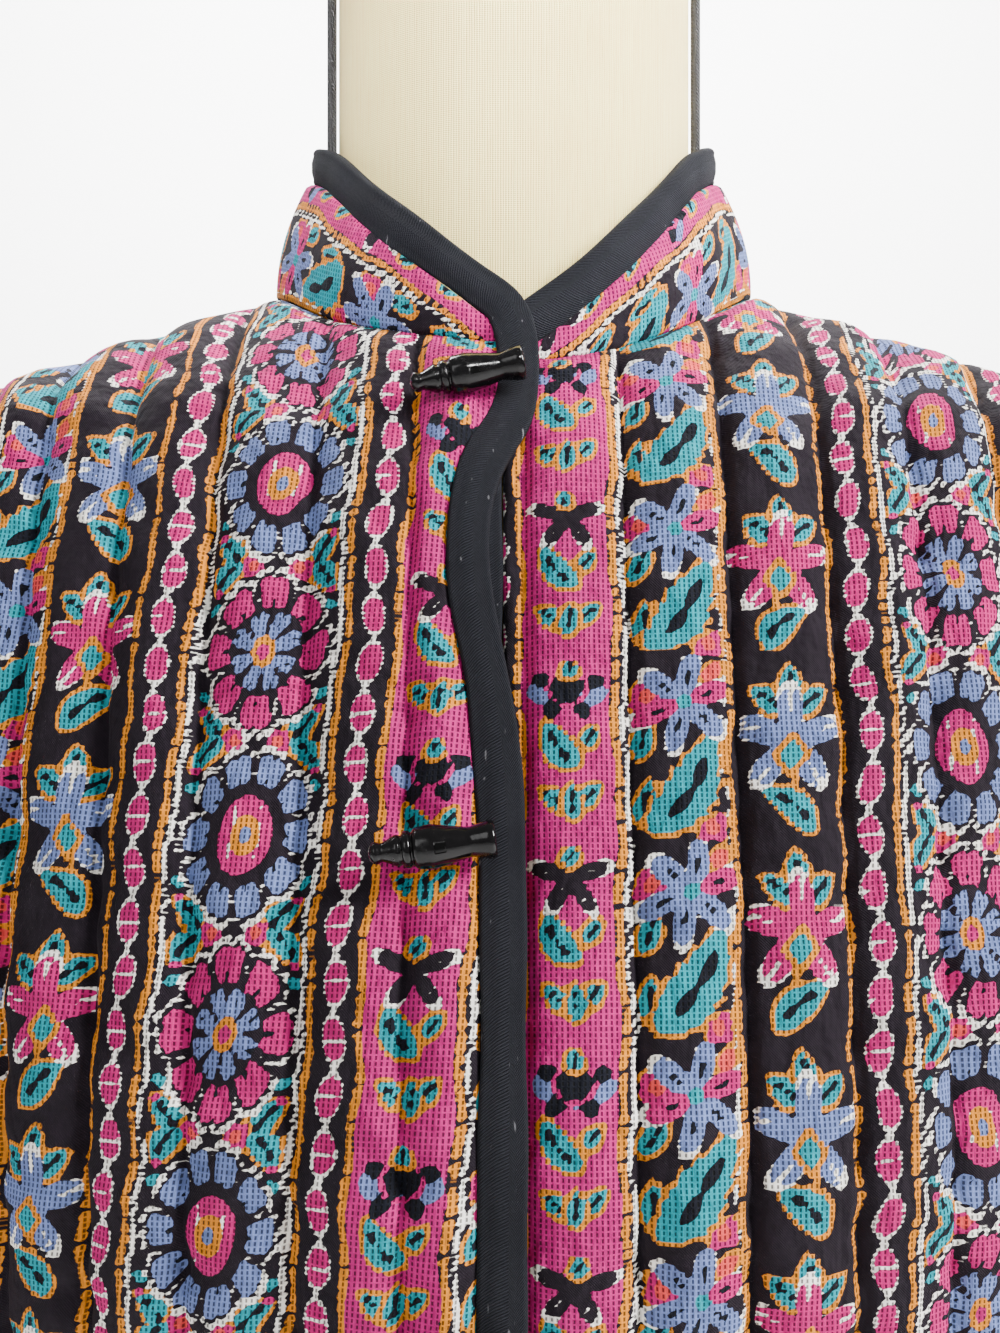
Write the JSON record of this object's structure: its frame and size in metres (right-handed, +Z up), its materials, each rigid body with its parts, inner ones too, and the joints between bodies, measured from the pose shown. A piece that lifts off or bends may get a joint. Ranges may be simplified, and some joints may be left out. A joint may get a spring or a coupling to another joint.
{
  "type": "quilted mandarin collar jacket on a dress form",
  "caption": "Hip-length quilted jacket with a stand collar, bound edges and toggles, hanging on a limbless dress form on a round foot.",
  "frame": {"origin": "centre of the foot's underside, on the surface the form stands on", "axes": "+Z up along the post, -Y out of the jacket's front, +X towards the wearer's left"},
  "size_m": [0.5356, 0.312, 0.95],
  "materials": {
    "quilted_cloth": "jacquard-look striped cotton, quilted in vertical channels, matt",
    "binding_twill": "charcoal cotton twill, matt",
    "toggle_gloss": "polished black turned plastic",
    "form_canvas": "cream cotton canvas pulled smooth",
    "form_braid": "thin black braid",
    "stand_wood": "satin varnished wood",
    "stand_steel": "brushed steel tube"
  },
  "bodies": {
    "root": {"front_over": "quilted_cloth", "front_under": "quilted_cloth", "back": "quilted_cloth", "sleeve_right": "quilted_cloth", "sleeve_left": "quilted_cloth", "collar": "quilted_cloth", "edge_binding": "binding_twill", "toggle_1": "toggle_gloss", "toggle_2": "toggle_gloss", "toggle_3": "toggle_gloss", "toggle_4": "toggle_gloss", "form_torso": "form_canvas", "form_braid_right": "form_braid", "form_braid_left": "form_braid", "form_cap": "stand_wood", "form_post": "stand_steel", "form_base": "stand_wood"}
  },
  "joints": []
}
